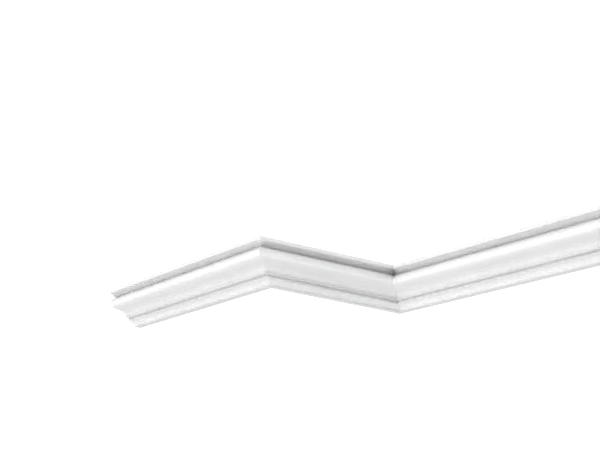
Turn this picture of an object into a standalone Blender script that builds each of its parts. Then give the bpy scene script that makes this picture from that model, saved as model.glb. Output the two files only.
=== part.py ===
"""A run of crown moulding for the angle between walls and ceiling: a left length, a short return
and a right length, mitred together at an outside corner and then at an inside corner.

Metres, +Z up. The long lengths run along X and face -Y, and the return runs along Y and faces +X.
The origin is on the ceiling seat, in the middle of the return.
"""

import math

import bmesh
import bpy
from mathutils import Vector

# Stretch of wall behind each length, and the turn that the wall takes at each corner
LEFT_WALL_RUN = 0.9075
RETURN_WALL_RUN = 0.5155
RIGHT_WALL_RUN = 1.090
CORNER_TURN = math.radians(90.0)

# Overall section: underside to ceiling seat, and wall to fascia
HEIGHT = 0.120
PROJECTION = 0.134

# Members of the face, from the ceiling down
FASCIA_HEIGHT = 0.0116
COVE_DEPTH = 0.0215
COVE_HEIGHT = 0.0154
COVE_SWEEP = math.radians(44.0)
NOSE_SETBACK = 0.0055
NOSE_RADIUS = 0.0176
SHOULDER_SLOPE = math.radians(22.5)
HOLLOW_RADIUS = 0.0183
STEP_DEPTH = 0.0125
LOWER_FILLET_HEIGHT = 0.0090
CAVETTO_DEPTH = 0.0242
CAVETTO_HEIGHT = 0.0151
CAVETTO_SWEEP = math.radians(58.0)
BASE_FILLET_HEIGHT = 0.0037
UNDERSIDE_DEPTH = 0.0246

# Flats glued to the wall and the ceiling, with a sloping back between them
WALL_SEAT_HEIGHT = 0.030
CEILING_SEAT_DEPTH = 0.042

# Moulded edges are eased, and each mitre keeps a hairline joint
ARRIS_RADIUS = 0.0012
MITRE_JOINT = 0.0003
FACET_ANGLE = math.radians(4.0)
SHARP_EDGE_ANGLE = math.radians(30.0)
SAME_POINT = 1e-6

PRIMER_WHITE = (0.72, 0.72, 0.71, 1.0)
PRIMER_ROUGHNESS = 0.45


def turned(centre, radius, start, end):
    """Points of an arc from one angle to another, both ends included."""
    steps = max(2, math.ceil(abs(end - start) / FACET_ANGLE))
    angles = [start + (end - start) * i / steps for i in range(steps + 1)]
    return [centre + radius * Vector((math.cos(a), math.sin(a))) for a in angles]


def arc_between(start, end, sweep):
    """Points of an arc of the given sweep from start to end, turning clockwise."""
    chord = end - start
    across = Vector((chord.y, -chord.x)).normalized()
    centre = (start + end) / 2.0 + across * chord.length / 2.0 / math.tan(sweep / 2.0)
    first = math.atan2(start.y - centre.y, start.x - centre.x)
    return turned(centre, (start - centre).length, first, first - sweep)


def long_s(start, end, slope):
    """Points of a flat S: two equal arcs, a hollow and then a swell, that leave and arrive at a slope."""
    middle = (start + end) / 2.0
    rise = middle - start
    hollow = arc_between(start, middle, 2.0 * (slope - math.atan2(rise.y, rise.x)))
    swell = [2.0 * middle - point for point in reversed(hollow)]
    return hollow + swell


def eased_arris(before, corner, after):
    """Points of the small arc that rounds a square arris between two straight runs."""
    back = (before - corner).normalized()
    ahead = (after - corner).normalized()
    centre = corner + (back + ahead) * ARRIS_RADIUS
    first = math.atan2(-ahead.y, -ahead.x)
    return turned(centre, ARRIS_RADIUS, first, first + back.angle_signed(ahead))


def base_members():
    """Underside, base fillet, cavetto, lower fillet and step, from the wall outwards."""
    base_front = Vector((UNDERSIDE_DEPTH, 0.0))
    cavetto_foot = Vector((UNDERSIDE_DEPTH, BASE_FILLET_HEIGHT))
    cavetto_top = cavetto_foot + Vector((CAVETTO_DEPTH - ARRIS_RADIUS, CAVETTO_HEIGHT))
    fillet_foot = cavetto_top + Vector((ARRIS_RADIUS, 0.0))
    fillet_top = fillet_foot + Vector((0.0, LOWER_FILLET_HEIGHT))
    step_front = fillet_top + Vector((STEP_DEPTH, 0.0))
    hollow_foot = step_front + Vector((0.0, ARRIS_RADIUS))
    outline = [Vector((0.0, 0.0))]
    outline += eased_arris(outline[0], base_front, cavetto_foot)
    outline += arc_between(cavetto_foot, cavetto_top, CAVETTO_SWEEP)
    outline += eased_arris(cavetto_top, fillet_foot, fillet_top)
    outline.append(fillet_top)
    outline += eased_arris(fillet_top, step_front, hollow_foot)
    return outline, hollow_foot


def ogee(hollow_foot, crease):
    """The wide face member: a tight hollow, a long flat S, and a round nose up to the crease."""
    hollow_centre = hollow_foot + Vector((HOLLOW_RADIUS, 0.0))
    nose_x = PROJECTION - NOSE_SETBACK - NOSE_RADIUS
    nose_rise = math.sqrt(NOSE_RADIUS**2 - (crease.x - nose_x) ** 2)
    nose_centre = Vector((nose_x, crease.y - nose_rise))
    crease_angle = math.atan2(crease.y - nose_centre.y, crease.x - nose_centre.x)
    quarter = math.pi / 2.0
    hollow = turned(hollow_centre, HOLLOW_RADIUS, math.pi, SHOULDER_SLOPE + quarter)
    nose = turned(nose_centre, NOSE_RADIUS, SHOULDER_SLOPE - quarter, crease_angle)
    return hollow + long_s(hollow[-1], nose[0], SHOULDER_SLOPE) + nose


def crown_members(crease):
    """Cove and fascia, from the crease up to the ceiling seat."""
    fascia_foot = Vector((PROJECTION, HEIGHT - FASCIA_HEIGHT))
    fascia_top = Vector((PROJECTION, HEIGHT))
    seat_back = Vector((PROJECTION - CEILING_SEAT_DEPTH, HEIGHT))
    cove_top = fascia_foot - Vector((ARRIS_RADIUS, 0.0))
    outline = arc_between(crease, cove_top, COVE_SWEEP)
    outline += eased_arris(cove_top, fascia_foot, fascia_top)
    outline += eased_arris(fascia_foot, fascia_top, seat_back)
    outline.append(seat_back)
    return outline


def without_repeats(outline):
    """The outline with points that coincide with the one before them left out."""
    kept = [outline[0]]
    for point in outline[1:]:
        if (point - kept[-1]).length > SAME_POINT:
            kept.append(point)
    return kept


def section():
    """The closed cross-section as (out from the wall, up) points, anticlockwise from the wall's foot."""
    base, hollow_foot = base_members()
    crease = Vector((PROJECTION - COVE_DEPTH, HEIGHT - FASCIA_HEIGHT - COVE_HEIGHT))
    face = ogee(hollow_foot, crease)
    crown = crown_members(crease)
    back = [Vector((0.0, WALL_SEAT_HEIGHT))]
    return without_repeats(base + face + crown + back)


def half_joint(cut):
    """How much of the run a mitre's hairline joint takes from this side, and none at a square end."""
    if cut == 0.0:
        return 0.0
    return MITRE_JOINT / 2.0 / math.cos(cut)


def length_mesh(name, run, start_cut, end_cut):
    """A mesh of the section drawn along X from 0 to run.

    A cut is the angle of an end from square, positive where the face moves along +X.
    """
    outline = section()
    start_lean = math.tan(start_cut)
    end_lean = math.tan(end_cut)
    start = half_joint(start_cut)
    end = run - half_joint(end_cut)
    bm = bmesh.new()
    near = [bm.verts.new((start + start_lean * p.x, -p.x, p.y)) for p in outline]
    far = [bm.verts.new((end + end_lean * p.x, -p.x, p.y)) for p in outline]
    near_loop = [bm.edges.new((near[i - 1], near[i])) for i in range(len(near))]
    far_loop = [bm.edges.new((far[i - 1], far[i])) for i in range(len(far))]
    bmesh.ops.contextual_create(bm, geom=near_loop)
    bmesh.ops.contextual_create(bm, geom=far_loop)
    for i in range(len(outline)):
        bm.faces.new((near[i - 1], near[i], far[i], far[i - 1]))
    bmesh.ops.recalc_face_normals(bm, faces=bm.faces)
    mesh = bpy.data.meshes.new(name)
    bm.to_mesh(mesh)
    bm.free()
    mesh.shade_smooth()
    mesh.set_sharp_from_angle(angle=SHARP_EDGE_ANGLE)
    return mesh


def primer():
    """White factory primer on a moulded polymer."""
    material = bpy.data.materials.new("white_primer")
    material.use_nodes = True
    shader = material.node_tree.nodes["Principled BSDF"]
    shader.inputs["Base Color"].default_value = PRIMER_WHITE
    shader.inputs["Roughness"].default_value = PRIMER_ROUGHNESS
    shader.inputs["Metallic"].default_value = 0.0
    return material


def placed(name, mesh, material, corner, turn, parent):
    """An object on the wall that starts at corner, turned about Z, under the run's empty."""
    mesh.materials.append(material)
    length = bpy.data.objects.new(name, mesh)
    bpy.context.scene.collection.objects.link(length)
    length.parent = parent
    length.location = corner
    length.rotation_euler.z = turn
    return length


def clear_scene():
    """Remove whatever the file opened with."""
    for leftover in list(bpy.data.objects):
        bpy.data.objects.remove(leftover, do_unlink=True)


def main():
    clear_scene()
    square = 0.0
    mitre = CORNER_TURN / 2.0
    along_return = Vector((math.cos(CORNER_TURN), math.sin(CORNER_TURN), 0.0))
    off_return = Vector((math.sin(CORNER_TURN), -math.cos(CORNER_TURN), 0.0))
    seat_middle = PROJECTION - CEILING_SEAT_DEPTH / 2.0
    return_middle = RETURN_WALL_RUN / 2.0 - seat_middle * math.tan(mitre)
    origin = along_return * return_middle + off_return * seat_middle + Vector((0.0, 0.0, HEIGHT))
    crown_run = bpy.data.objects.new("crown_run", None)
    bpy.context.scene.collection.objects.link(crown_run)
    crown_run.location = -origin

    white_primer = primer()
    left = length_mesh("left_length", LEFT_WALL_RUN, square, mitre)
    middle = length_mesh("return_length", RETURN_WALL_RUN, -mitre, -mitre)
    right = length_mesh("right_length", RIGHT_WALL_RUN, mitre, square)

    outside_corner = Vector((0.0, 0.0, 0.0))
    inside_corner = outside_corner + along_return * RETURN_WALL_RUN
    left_end = outside_corner - Vector((LEFT_WALL_RUN, 0.0, 0.0))
    placed("left_length", left, white_primer, left_end, 0.0, crown_run)
    placed("return_length", middle, white_primer, outside_corner, CORNER_TURN, crown_run)
    placed("right_length", right, white_primer, inside_corner, 0.0, crown_run)
    bpy.context.view_layer.update()


main()
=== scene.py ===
# %% [markdown]
# # A run of primed crown moulding, seen from below
#
# Crown moulding covers the angle between a wall and a ceiling. This run follows a wall that steps
# back: a long left length, a short return, and a long right length. All three are cut from the same
# moulded section, so the lesson draws that section once, draws it out along each wall, and cuts the
# ends square or to a mitre. After that come the finishes, the camera and the studio.

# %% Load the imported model, which fixes every size and place
import math

import bmesh
import bpy
from mathutils import Matrix, Vector


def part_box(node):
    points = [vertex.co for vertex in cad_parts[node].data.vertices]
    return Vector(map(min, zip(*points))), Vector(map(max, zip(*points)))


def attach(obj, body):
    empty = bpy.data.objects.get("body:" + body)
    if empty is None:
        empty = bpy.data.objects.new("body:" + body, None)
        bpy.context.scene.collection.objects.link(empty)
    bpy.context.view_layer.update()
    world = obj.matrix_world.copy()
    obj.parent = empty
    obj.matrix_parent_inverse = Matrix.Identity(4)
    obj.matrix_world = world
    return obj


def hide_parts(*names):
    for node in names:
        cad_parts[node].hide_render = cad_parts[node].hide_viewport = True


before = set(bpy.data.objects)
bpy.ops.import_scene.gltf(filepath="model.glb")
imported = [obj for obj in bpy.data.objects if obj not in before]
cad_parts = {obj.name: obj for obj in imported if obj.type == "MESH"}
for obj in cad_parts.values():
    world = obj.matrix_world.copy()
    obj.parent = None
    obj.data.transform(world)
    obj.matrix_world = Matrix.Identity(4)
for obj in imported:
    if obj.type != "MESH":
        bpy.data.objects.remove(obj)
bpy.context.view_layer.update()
print("solid model:", len(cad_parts), "nodes")

# %% [markdown]
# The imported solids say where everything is. The back of each length lies on its wall, so the two
# wall corners can be read from the boxes of the solids, and so can the drop and the projection.

# %% Read the walls, the drop and the projection from the solids
left_low, left_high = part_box("left_length")
return_low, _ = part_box("return_length")
_, right_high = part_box("right_length")

outside_corner = Vector((return_low.x, left_high.y, left_low.z))
inside_corner = Vector((return_low.x, right_high.y, left_low.z))
left_end = Vector((left_low.x, left_high.y, left_low.z))
DROP = left_high.z - left_low.z
PROJECTION = left_high.y - left_low.y
left_wall = (outside_corner - left_end).length
return_wall = (inside_corner - outside_corner).length
right_wall = right_high.x - inside_corner.x
print(f"drop {DROP:.4f} m, projection {PROJECTION:.4f} m")
print(f"walls: left {left_wall:.4f} m, return {return_wall:.4f} m, right {right_wall:.4f} m")

# %% [markdown]
# ## Camera
#
# The camera stands at eye height in the room, looks up at the corner, and is turned to the left.
# It leans a few degrees to one side, as a hand-held camera does. A camera looks along its own -Z
# with +Y up, so its three axes become the columns of its matrix.

# %% Set the camera at eye height below the moulding
EYE_FROM_OUTSIDE_CORNER = Vector((3.5725, -2.2058, -0.9811))
TURNED_LEFT = math.radians(57.202)
LOOKING_UP = math.radians(15.881)
LEANING = math.radians(-3.073)
LENS_MM = 81.33
SENSOR_MM = 36.0


def camera_axes(turn, tilt, lean):
    """Right, up and forward of a camera turned from +Y, tilted up and leaning to one side."""
    level_forward = Vector((-math.sin(turn), math.cos(turn), 0.0))
    level_right = Vector((math.cos(turn), math.sin(turn), 0.0))
    straight_up = Vector((0.0, 0.0, 1.0))
    forward = level_forward * math.cos(tilt) + straight_up * math.sin(tilt)
    upright = straight_up * math.cos(tilt) - level_forward * math.sin(tilt)
    right = level_right * math.cos(lean) - upright * math.sin(lean)
    up = level_right * math.sin(lean) + upright * math.cos(lean)
    return right, up, forward


camera_data = bpy.data.cameras.new("room_camera")
camera_data.lens = LENS_MM
camera_data.sensor_width = SENSOR_MM
camera = bpy.data.objects.new("room_camera", camera_data)
bpy.context.scene.collection.objects.link(camera)
right, up, forward = camera_axes(TURNED_LEFT, LOOKING_UP, LEANING)
eye = Matrix.Translation(outside_corner + EYE_FROM_OUTSIDE_CORNER)
camera.matrix_world = eye @ Matrix((right, up, -forward)).transposed().to_4x4()
bpy.context.scene.camera = camera
print("camera at", tuple(round(v, 3) for v in camera.location))

# %% [markdown]
# ## The section
#
# A moulder names a section by its members. From the ceiling down this one has a flat fascia, a
# small cove, a wide ogee made of a round nose, a flat S and a tight hollow, a square step, a
# fillet, a cavetto and a base fillet. Each member is a straight line or an arc, so the outline is
# built from those, and not from a traced list of points: an arc stays round however finely it is
# cut.

# %% Sizes of the members
MM = 0.001
FASCIA_HEIGHT = 11.6 * MM
COVE_DEPTH = 21.5 * MM
COVE_HEIGHT = 15.4 * MM
COVE_SWEEP = math.radians(44.0)
NOSE_SETBACK = 5.5 * MM
NOSE_RADIUS = 17.6 * MM
SHOULDER_SLOPE = math.radians(22.5)
HOLLOW_RADIUS = 18.3 * MM
STEP_DEPTH = 12.5 * MM
LOWER_FILLET_HEIGHT = 9.0 * MM
CAVETTO_DEPTH = 24.2 * MM
CAVETTO_HEIGHT = 15.1 * MM
CAVETTO_SWEEP = math.radians(58.0)
BASE_FILLET_HEIGHT = 3.7 * MM
UNDERSIDE_DEPTH = 24.6 * MM
WALL_SEAT_HEIGHT = 30.0 * MM
CEILING_SEAT_DEPTH = 42.0 * MM
ARRIS_RADIUS = 1.2 * MM
FINE_FACET = math.radians(1.5)
FEWEST_FACETS = 3
SAME_POINT = 0.001 * MM

# %% Draw arcs and eased edges
def turned(centre, radius, start, end):
    """Points of an arc from one angle to another, both ends included."""
    steps = max(FEWEST_FACETS, math.ceil(abs(end - start) / FINE_FACET))
    angles = [start + (end - start) * i / steps for i in range(steps + 1)]
    return [centre + radius * Vector((math.cos(a), math.sin(a))) for a in angles]


def arc_between(start, end, sweep):
    """Points of an arc of the given sweep from start to end, turning clockwise."""
    chord = end - start
    across = Vector((chord.y, -chord.x)).normalized()
    centre = (start + end) / 2.0 + across * chord.length / 2.0 / math.tan(sweep / 2.0)
    first = math.atan2(start.y - centre.y, start.x - centre.x)
    return turned(centre, (start - centre).length, first, first - sweep)


def long_s(start, end, slope):
    """Points of a flat S: a hollow, then an equal swell, that leaves and arrives at a slope."""
    middle = (start + end) / 2.0
    rise = middle - start
    hollow = arc_between(start, middle, 2.0 * (slope - math.atan2(rise.y, rise.x)))
    swell = [2.0 * middle - point for point in reversed(hollow)]
    return hollow + swell


def eased_arris(before, corner, after):
    """Points of the small arc that rounds a square arris between two straight runs."""
    back = (before - corner).normalized()
    ahead = (after - corner).normalized()
    centre = corner + (back + ahead) * ARRIS_RADIUS
    first = math.atan2(-ahead.y, -ahead.x)
    return turned(centre, ARRIS_RADIUS, first, first + back.angle_signed(ahead))


# %% Draw the members from the wall's foot round to the back
def base_members():
    """Underside, base fillet, cavetto, lower fillet and step, from the wall outwards."""
    base_front = Vector((UNDERSIDE_DEPTH, 0.0))
    cavetto_foot = Vector((UNDERSIDE_DEPTH, BASE_FILLET_HEIGHT))
    cavetto_top = cavetto_foot + Vector((CAVETTO_DEPTH - ARRIS_RADIUS, CAVETTO_HEIGHT))
    fillet_foot = cavetto_top + Vector((ARRIS_RADIUS, 0.0))
    fillet_top = fillet_foot + Vector((0.0, LOWER_FILLET_HEIGHT))
    step_front = fillet_top + Vector((STEP_DEPTH, 0.0))
    hollow_foot = step_front + Vector((0.0, ARRIS_RADIUS))
    outline = [Vector((0.0, 0.0))]
    outline += eased_arris(outline[0], base_front, cavetto_foot)
    outline += arc_between(cavetto_foot, cavetto_top, CAVETTO_SWEEP)
    outline += eased_arris(cavetto_top, fillet_foot, fillet_top)
    outline.append(fillet_top)
    outline += eased_arris(fillet_top, step_front, hollow_foot)
    return outline, hollow_foot


def ogee(hollow_foot, crease):
    """The wide face member: a tight hollow, a long flat S, and a round nose up to the crease."""
    hollow_centre = hollow_foot + Vector((HOLLOW_RADIUS, 0.0))
    nose_x = PROJECTION - NOSE_SETBACK - NOSE_RADIUS
    nose_rise = math.sqrt(NOSE_RADIUS**2 - (crease.x - nose_x) ** 2)
    nose_centre = Vector((nose_x, crease.y - nose_rise))
    crease_angle = math.atan2(crease.y - nose_centre.y, crease.x - nose_centre.x)
    quarter = math.pi / 2.0
    hollow = turned(hollow_centre, HOLLOW_RADIUS, math.pi, SHOULDER_SLOPE + quarter)
    nose = turned(nose_centre, NOSE_RADIUS, SHOULDER_SLOPE - quarter, crease_angle)
    return hollow + long_s(hollow[-1], nose[0], SHOULDER_SLOPE) + nose


def crown_members(crease):
    """Cove and fascia, from the crease up to the ceiling seat."""
    fascia_foot = Vector((PROJECTION, DROP - FASCIA_HEIGHT))
    fascia_top = Vector((PROJECTION, DROP))
    seat_back = Vector((PROJECTION - CEILING_SEAT_DEPTH, DROP))
    cove_top = fascia_foot - Vector((ARRIS_RADIUS, 0.0))
    outline = arc_between(crease, cove_top, COVE_SWEEP)
    outline += eased_arris(cove_top, fascia_foot, fascia_top)
    outline += eased_arris(fascia_foot, fascia_top, seat_back)
    outline.append(seat_back)
    return outline


def section():
    """The closed section as (out from the wall, up) points, with no point given twice."""
    base, hollow_foot = base_members()
    crease = Vector((PROJECTION - COVE_DEPTH, DROP - FASCIA_HEIGHT - COVE_HEIGHT))
    outline = base + ogee(hollow_foot, crease) + crown_members(crease)
    outline.append(Vector((0.0, WALL_SEAT_HEIGHT)))
    kept = [outline[0]]
    for point in outline[1:]:
        if (point - kept[-1]).length > SAME_POINT:
            kept.append(point)
    return kept


OUTLINE = section()
LAST = len(OUTLINE) - 1
BACK_STRIPS = (0, LAST, LAST - 1)
print(f"section: {len(OUTLINE)} points")
print("unpainted strips, wall seat, back and ceiling seat:", BACK_STRIPS)

# %% [markdown]
# ## The three lengths
#
# Drawing the section along a wall gives a length. A square end stays at one place along the run. At
# a mitre, each point of the section moves along the run as far as it stands out from the wall, and
# that makes the 45 degree cut. A fitter fills the joint and rubs it down, so the mitres are drawn
# with a gap that is too fine to see: the corner reads as a clean crease, and the lengths still
# don't touch. Each length is cut into short stations, because long thin faces shade and unwrap
# badly.

# %% Draw the section along a wall
SQUARE = 0.0
MITRE = 1.0
LONG_WALL_TURN = 0.0
RETURN_WALL_TURN = math.radians(90.0)
FILLED_JOINT = 0.02 * MM
STATION_SPACING = 40.0 * MM
SHARP_EDGE_ANGLE = math.radians(25.0)
FACE, SAWN_END, BACK = 0, 1, 2


def length_of_moulding(name, run, start_lean, end_lean, corner, turn):
    """One length with square or mitred ends, standing on the wall that starts at corner."""
    relief = FILLED_JOINT / 2.0 * math.sqrt(2.0)
    start = relief * abs(start_lean)
    end = run - relief * abs(end_lean)
    stations = math.ceil(run / STATION_SPACING)
    bm = bmesh.new()
    rings = []
    for station in range(stations + 1):
        along = station / stations
        ring = []
        for point in OUTLINE:
            near = start + start_lean * point.x
            far = end + end_lean * point.x
            ring.append(bm.verts.new((near + (far - near) * along, -point.x, point.y)))
        rings.append(ring)
    for near_ring, far_ring in zip(rings, rings[1:]):
        for i in range(len(OUTLINE)):
            strip = bm.faces.new((near_ring[i - 1], near_ring[i], far_ring[i], far_ring[i - 1]))
            strip.material_index = BACK if i in BACK_STRIPS else FACE
    bm.faces.new(rings[0]).material_index = SAWN_END
    bm.faces.new(reversed(rings[-1])).material_index = SAWN_END
    bmesh.ops.recalc_face_normals(bm, faces=bm.faces)
    mesh = bpy.data.meshes.new(name)
    bm.to_mesh(mesh)
    bm.free()
    mesh.transform(Matrix.Translation(corner) @ Matrix.Rotation(turn, 4, "Z"))
    mesh.shade_smooth()
    mesh.set_sharp_from_angle(angle=SHARP_EDGE_ANGLE)
    length = bpy.data.objects.new(name, mesh)
    bpy.context.scene.collection.objects.link(length)
    print(name, len(mesh.vertices), "vertices,", len(mesh.polygons), "faces")
    return length


# %% Cut the left length, the return and the right length
moulded_left = length_of_moulding(
    "moulded_left_length", left_wall, SQUARE, MITRE, left_end, LONG_WALL_TURN
)
moulded_return = length_of_moulding(
    "moulded_return", return_wall, -MITRE, -MITRE, outside_corner, RETURN_WALL_TURN
)
moulded_right = length_of_moulding(
    "moulded_right_length", right_wall, MITRE, SQUARE, inside_corner, LONG_WALL_TURN
)

# %% [markdown]
# ## Finishes
#
# The body is rigid polyurethane foam, poured into a mould. It leaves the mould with a closed skin,
# the face is sprayed with a white primer, and the ends are sawn to length. So there are three
# finishes on each length: primer on the face, bare foam on the sawn ends, bare skin on the back.
# Colours are written as sRGB hex, as a paint card gives them, and shaders want them linear.

# %% Turn sRGB hex into the linear values that shaders use
def linear(hex_colour):
    """Linear (r, g, b, 1) of an sRGB colour such as "#F2F2F0"."""
    channels = [int(hex_colour[i : i + 2], 16) / 255.0 for i in (1, 3, 5)]
    spread = [c / 12.92 if c <= 0.04045 else ((c + 0.055) / 1.055) ** 2.4 for c in channels]
    return (*spread, 1.0)


print("primer white in linear values:", tuple(round(v, 3) for v in linear("#DDDDDD")))

# %% Add one node with its settings and links
def add_node(tree, kind, settings, links):
    """A new node. Settings are sockets or properties, and links are sources by socket."""
    node = tree.nodes.new(kind)
    for name, value in settings.items():
        if isinstance(name, int) or name in node.inputs:
            node.inputs[name].default_value = value
        else:
            setattr(node, name, value)
    for name, source in links.items():
        tree.links.new(source, node.inputs[name])
    return node


# %% Start a material from its name, IOR and roughness
MIX_FACTOR, MIX_A, MIX_B = 0, 6, 7
MIX_RESULT = 2


def new_finish(name, ior, roughness):
    """A new material, its node tree, its shader, and the place on the object in metres."""
    finish = bpy.data.materials.new(name)
    finish.use_nodes = True
    tree = finish.node_tree
    shader = tree.nodes["Principled BSDF"]
    shader.inputs["IOR"].default_value = ior
    shader.inputs["Roughness"].default_value = roughness
    shader.inputs["Metallic"].default_value = 0.0
    place = tree.nodes.new("ShaderNodeTexCoord").outputs["Object"]
    return finish, tree, shader, place


# %% [markdown]
# ### Primer on the face
#
# Acrylic primer is sprayed on in one thin, even coat. It is white but not bright: a coat that still
# has to be painted reflects about seven tenths of the light. It dries to a satin that is a little
# uneven, and its surface keeps the faint ripple of the spray, called orange peel. The ripple is
# about 2 mm across on the real face, which is only a pixel here, so it is drawn 6 mm across.

# %% Sprayed acrylic primer
PRIMER_WHITE = "#DDDDDD"
PRIMER_THIN_COAT = "#DADADA"
PRIMER_IOR = 1.49
PRIMER_ROUGHNESS = 0.45
PRIMER_SMOOTHEST = 0.40
PRIMER_ROUGHEST = 0.50
COAT_DRIFT = 220.0 * MM
ORANGE_PEEL = 6.0 * MM
ORANGE_PEEL_DEPTH = 0.012 * MM


def sprayed_primer():
    """White acrylic primer, sprayed: an even white with a satin sheen and a faint ripple."""
    finish, tree, shader, place = new_finish("sprayed_acrylic_primer", PRIMER_IOR, PRIMER_ROUGHNESS)
    drift = add_node(
        tree,
        "ShaderNodeTexNoise",
        {"Scale": 1.0 / COAT_DRIFT, "Detail": 2.0, "Roughness": 0.5},
        {"Vector": place},
    )
    tone = add_node(
        tree,
        "ShaderNodeMix",
        {"data_type": "RGBA", MIX_A: linear(PRIMER_WHITE), MIX_B: linear(PRIMER_THIN_COAT)},
        {MIX_FACTOR: drift.outputs["Fac"]},
    )
    sheen = add_node(
        tree,
        "ShaderNodeMapRange",
        {"To Min": PRIMER_SMOOTHEST, "To Max": PRIMER_ROUGHEST},
        {"Value": drift.outputs["Fac"]},
    )
    ripple = add_node(
        tree,
        "ShaderNodeTexNoise",
        {"Scale": 1.0 / ORANGE_PEEL, "Detail": 1.0, "Roughness": 0.4},
        {"Vector": place},
    )
    relief = add_node(
        tree,
        "ShaderNodeBump",
        {"Strength": 1.0, "Distance": ORANGE_PEEL_DEPTH},
        {"Height": ripple.outputs["Fac"]},
    )
    tree.links.new(tone.outputs[MIX_RESULT], shader.inputs["Base Color"])
    tree.links.new(sheen.outputs["Result"], shader.inputs["Roughness"])
    tree.links.new(relief.outputs["Normal"], shader.inputs["Normal"])
    return finish


primer = sprayed_primer()
print(primer.name, "has", len(primer.node_tree.nodes), "nodes")

# %% [markdown]
# ### Bare foam on the sawn ends
#
# A fine saw leaves rigid foam matt and cream, with the cut cells as tiny pits and the blade's
# strokes as faint parallel lines. The pits are drawn darker than the cream, which is painted shade
# in them. Cells are about 0.3 mm across, too fine to show even from close by, so they are drawn
# 1.2 mm across. Strokes are about as far apart as the teeth, 3 mm, and are drawn at that size. A
# wave texture at scale 1 repeats every pi / 10 metres, which sets its scale.

# %% Sawn rigid polyurethane foam
FOAM_CREAM = "#E2E1DC"
FOAM_PIT_PAINTED_SHADE = "#D6D4CE"
POLYURETHANE_IOR = 1.5
FOAM_ROUGHNESS = 0.9
FOAM_CELL = 1.2 * MM
FOAM_PIT_DEPTH = 0.12 * MM
SAW_STROKE = 3.0 * MM
SAW_STROKE_DEPTH = 0.06 * MM
SAW_SLANT = math.radians(62.0)
WAVE_AT_SCALE_ONE = math.pi / 10.0


def sawn_foam():
    """Sawn rigid polyurethane foam: matt cream, pits in painted shade, slanting saw strokes."""
    finish, tree, shader, place = new_finish(
        "sawn_polyurethane_foam", POLYURETHANE_IOR, FOAM_ROUGHNESS
    )
    cell_pits_and_shade = add_node(tree, "ShaderNodeTexVoronoi", {"Scale": 1.0 / FOAM_CELL}, {"Vector": place})
    # The pits are mixed darker than the cream: painted shade in the cut cells.
    tone = add_node(
        tree,
        "ShaderNodeMix",
        {"data_type": "RGBA", MIX_A: linear(FOAM_PIT_PAINTED_SHADE), MIX_B: linear(FOAM_CREAM)},
        {MIX_FACTOR: cell_pits_and_shade.outputs["Distance"]},
    )
    slant = add_node(
        tree, "ShaderNodeMapping", {"Rotation": (SAW_SLANT, 0.0, 0.0)}, {"Vector": place}
    )
    strokes = add_node(
        tree,
        "ShaderNodeTexWave",
        {
            "bands_direction": "Z",
            "Scale": WAVE_AT_SCALE_ONE / SAW_STROKE,
            "Distortion": 1.5,
            "Detail": 2.0,
        },
        {"Vector": slant.outputs["Vector"]},
    )
    strokes_relief = add_node(
        tree,
        "ShaderNodeBump",
        {"Strength": 1.0, "Distance": SAW_STROKE_DEPTH},
        {"Height": strokes.outputs["Fac"]},
    )
    pits_relief = add_node(
        tree,
        "ShaderNodeBump",
        {"Strength": 1.0, "Distance": FOAM_PIT_DEPTH},
        {"Height": cell_pits_and_shade.outputs["Distance"], "Normal": strokes_relief.outputs["Normal"]},
    )
    tree.links.new(tone.outputs[MIX_RESULT], shader.inputs["Base Color"])
    tree.links.new(pits_relief.outputs["Normal"], shader.inputs["Normal"])
    return finish


foam = sawn_foam()
print(foam.name, "has", len(foam.node_tree.nodes), "nodes")

# %% [markdown]
# ### Bare skin on the back
#
# The back takes its surface from the lid of the mould. It isn't painted, so it keeps the foam's own
# off-white, with pale clouds where the skin is thicker and a scatter of pinholes left by bubbles.
# Glue has to hold on it, so nobody polishes it: it stays duller than the face. Pinholes are under a
# millimetre wide and 20 mm or so apart, and they are drawn 2 mm wide so that they show. They are
# drawn darker than the skin, which is painted shade in the holes. Their edges are soft: the outer
# four tenths of the radius fade into the skin.

# %% Moulded polyurethane skin
SKIN_WHITE = "#E4E4E2"
SKIN_CLOUD = "#DCDBD9"
SKIN_PINHOLE_PAINTED_SHADE = "#B8B6B2"
SKIN_ROUGHNESS = 0.6
CLOUD_SIZE = 35.0 * MM
PINHOLE_SPACING = 22.0 * MM
PINHOLE_RADIUS = 1.0 * MM
PINHOLE_FULL_DEPTH = 0.6
SKIN_RELIEF = 0.15 * MM
PINHOLE_DEPTH = 0.6 * MM


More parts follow.
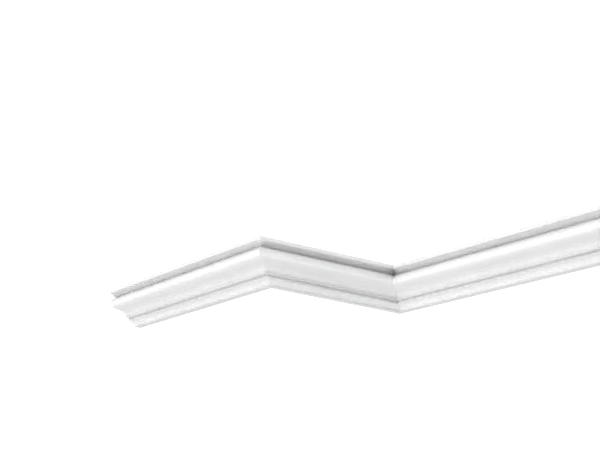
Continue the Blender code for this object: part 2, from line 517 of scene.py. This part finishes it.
def moulded_skin():
    """Polyurethane skin as moulded: off-white, cloudy and dull, with pinholes in painted shade."""
    finish, tree, shader, place = new_finish(
        "moulded_polyurethane_skin", POLYURETHANE_IOR, SKIN_ROUGHNESS
    )
    clouds = add_node(
        tree,
        "ShaderNodeTexNoise",
        {"Scale": 1.0 / CLOUD_SIZE, "Detail": 4.0, "Roughness": 0.6},
        {"Vector": place},
    )
    cloudy = add_node(
        tree,
        "ShaderNodeMix",
        {"data_type": "RGBA", MIX_A: linear(SKIN_WHITE), MIX_B: linear(SKIN_CLOUD)},
        {MIX_FACTOR: clouds.outputs["Fac"]},
    )
    bubbles = add_node(
        tree, "ShaderNodeTexVoronoi", {"Scale": 1.0 / PINHOLE_SPACING}, {"Vector": place}
    )
    pinhole_and_painted_shade = add_node(
        tree,
        "ShaderNodeMapRange",
        {
            "From Min": PINHOLE_RADIUS / PINHOLE_SPACING * PINHOLE_FULL_DEPTH,
            "From Max": PINHOLE_RADIUS / PINHOLE_SPACING,
            "To Min": 1.0,
            "To Max": 0.0,
        },
        {"Value": bubbles.outputs["Distance"]},
    )
    # Pinholes are mixed darker than the skin: painted shade in the holes.
    tone = add_node(
        tree,
        "ShaderNodeMix",
        {"data_type": "RGBA", MIX_B: linear(SKIN_PINHOLE_PAINTED_SHADE)},
        {MIX_FACTOR: pinhole_and_painted_shade.outputs["Result"], MIX_A: cloudy.outputs[MIX_RESULT]},
    )
    skin_relief = add_node(
        tree,
        "ShaderNodeBump",
        {"Strength": 1.0, "Distance": SKIN_RELIEF},
        {"Height": clouds.outputs["Fac"]},
    )
    pinhole_relief = add_node(
        tree,
        "ShaderNodeBump",
        {"Strength": 1.0, "Distance": PINHOLE_DEPTH, "invert": True},
        {"Height": pinhole_and_painted_shade.outputs["Result"], "Normal": skin_relief.outputs["Normal"]},
    )
    tree.links.new(tone.outputs[MIX_RESULT], shader.inputs["Base Color"])
    tree.links.new(pinhole_relief.outputs["Normal"], shader.inputs["Normal"])
    return finish


skin = moulded_skin()
print(skin.name, "has", len(skin.node_tree.nodes), "nodes")

# %% [markdown]
# ### Give each length its three finishes
#
# A mesh picks a finish by number, face by face, and the numbers were set when the section was drawn
# out. Each length then takes the place of its imported solid, which is hidden, and rides on the one
# body that the part has.

# %% Dress the lengths and put them in the place of their solids
for length, node in (
    (moulded_left, "left_length"),
    (moulded_return, "return_length"),
    (moulded_right, "right_length"),
):
    for finish in (primer, foam, skin):
        length.data.materials.append(finish)
    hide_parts(node)
    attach(length, "root")
    print(length.name, "stands for", node)

# %% [markdown]
# ## Studio
#
# The moulding hangs alone in a white room, with a pale floor a room's height below it. A white
# surround gives even light from all sides. On its own that would flatten the members, so a few far
# lamps add a direction to it. Each is a sun lamp with a wide disc, which is what a large softbox
# does from far off: soft shadows, and the same strength all along the run. The floor is there to
# be looked at only. It neither blocks light nor sends any back, because the lamps that stand below
# the moulding already give the light that a floor would return.

# %% Pale floor, a room's height below the ceiling
FLOOR_BELOW_SEAT = 2.7
FLOOR_SIZE = 400.0
FLOOR_GREY = "#E1E1E1"
FLOOR_IOR = 1.5
FLOOR_ROUGHNESS = 0.9
floor_mesh = bpy.data.meshes.new("studio_floor")
floor_bm = bmesh.new()
bmesh.ops.create_grid(floor_bm, x_segments=1, y_segments=1, size=FLOOR_SIZE / 2.0)
floor_bm.to_mesh(floor_mesh)
floor_bm.free()
floor = bpy.data.objects.new("studio_floor", floor_mesh)
floor.location = (0.0, 0.0, -FLOOR_BELOW_SEAT)
floor.visible_shadow = False
floor.visible_diffuse = False
floor.visible_glossy = False
bpy.context.scene.collection.objects.link(floor)
floor_paint, _, floor_shader, _ = new_finish("matt_floor_paint", FLOOR_IOR, FLOOR_ROUGHNESS)
floor_shader.inputs["Base Color"].default_value = linear(FLOOR_GREY)
floor_mesh.materials.append(floor_paint)
print("floor at", floor.location.z, "m")

# %% [markdown]
# The surround has two jobs, so it has two brightnesses. One lights the moulding evenly from every
# side. The other is only what the camera sees: white overhead, and down at the horizon close to the
# grey of the floor, so that the two meet with hardly a line, as a studio's curved backdrop does.
# The white is seen a twentieth over full white. At exactly white, noise tints its border, and much
# over white, half covered pixels clip to white and eat into the moulding's pale edges.

# %% White surround that fades to the grey of the floor
PURE_WHITE = "#FFFFFF"
SURROUND_LIGHT = 0.89
SURROUND_SEEN = 1.05
FLOOR_SEEN = 0.92
WHITE_ABOVE = math.radians(5.0)
world = bpy.data.worlds.new("white_surround")
bpy.context.scene.world = world
world.use_nodes = True
surround = world.node_tree
lighting = surround.nodes["Background"]
lighting.inputs["Color"].default_value = linear(PURE_WHITE)
lighting.inputs["Strength"].default_value = SURROUND_LIGHT
direction = add_node(surround, "ShaderNodeTexCoord", {}, {})
height = add_node(surround, "ShaderNodeSeparateXYZ", {}, {0: direction.outputs["Generated"]})
seen_strength = add_node(
    surround,
    "ShaderNodeMapRange",
    {
        "interpolation_type": "SMOOTHSTEP",
        "From Min": 0.0,
        "From Max": math.sin(WHITE_ABOVE),
        "To Min": FLOOR_SEEN,
        "To Max": SURROUND_SEEN,
    },
    {"Value": height.outputs["Z"]},
)
seen = add_node(
    surround,
    "ShaderNodeBackground",
    {"Color": linear(PURE_WHITE)},
    {"Strength": seen_strength.outputs["Result"]},
)
ray = add_node(surround, "ShaderNodeLightPath", {}, {})
either = add_node(
    surround,
    "ShaderNodeMixShader",
    {},
    {
        0: ray.outputs["Is Camera Ray"],
        1: lighting.outputs["Background"],
        2: seen.outputs["Background"],
    },
)
surround.links.new(either.outputs["Shader"], surround.nodes["World Output"].inputs["Surface"])
print("surround lights at", SURROUND_LIGHT, "and is seen at", FLOOR_SEEN, "to", SURROUND_SEEN)

# %% [markdown]
# The moulding is seen from below, and a room's floor throws light back up, so half of the lamps
# stand below it. Three are bounce from the floor, two are low at the sides, two are level and two
# are high. The front ones look well into the inside corner, or it would fill with shadow.
# The last lamp stands behind, where it reaches no part of the face: it lights the back for whoever
# walks round. A lamp is placed by its bearing, from straight in front of the long lengths round to
# the front of the return at 90, and by its height above level, all in degrees.

# %% Far soft lamps
LAMP_DISC = math.radians(30.0)


def soft_lamp(name, bearing, height, strength):
    """A far lamp with a wide disc, pointing at the moulding from its bearing and height."""
    bearing, height = math.radians(bearing), math.radians(height)
    level = math.cos(height)
    towards = Vector((math.sin(bearing) * level, -math.cos(bearing) * level, math.sin(height)))
    lamp_data = bpy.data.lights.new(name, "SUN")
    lamp_data.energy = strength
    lamp_data.angle = LAMP_DISC
    lamp = bpy.data.objects.new(name, lamp_data)
    lamp.rotation_mode = "QUATERNION"
    lamp.rotation_quaternion = towards.to_track_quat("Z", "Y")
    bpy.context.scene.collection.objects.link(lamp)
    print(name, "strength", strength)


soft_lamp("bounce_from_under", 0.0, -75.0, 0.45)
soft_lamp("bounce_from_front", 0.0, -50.0, 0.34)
soft_lamp("bounce_from_right", 120.0, -50.0, 0.33)
soft_lamp("low_left_lamp", 330.0, -20.0, 0.21)
soft_lamp("low_right_lamp", 60.0, -20.0, 0.29)
soft_lamp("level_front_lamp", 30.0, 5.0, 0.53)
soft_lamp("level_right_lamp", 120.0, 5.0, 0.15)
soft_lamp("high_front_lamp", 30.0, 30.0, 0.67)
soft_lamp("high_right_lamp", 90.0, 30.0, 0.17)
soft_lamp("back_lamp", 240.0, 20.0, 1.20)

# %% [markdown]
# ## Contrast and smoothness
#
# White on white only reads by its shadows. The usual display curve lifts those, so the picture is
# shown through a lower gamma, which keeps the cove and the step as deep as they look on the wall.
# A lens also draws an edge a little softer than a renderer does, so each pixel gathers its light
# from a slightly wider spot than usual. That calms the fine lines along the lengths.

# %% Standard view with deeper mid tones, and a slightly wider pixel
DISPLAY_POWER = 1.39
SRGB_POWER = 1.0 / 2.2
PIXEL_SPOT = 2.0
view = bpy.context.scene.view_settings
view.view_transform = "Standard"
view.gamma = SRGB_POWER / DISPLAY_POWER
bpy.context.scene.cycles.filter_width = PIXEL_SPOT
print(f"view gamma {view.gamma:.3f}, each pixel gathers from {PIXEL_SPOT} pixels across")
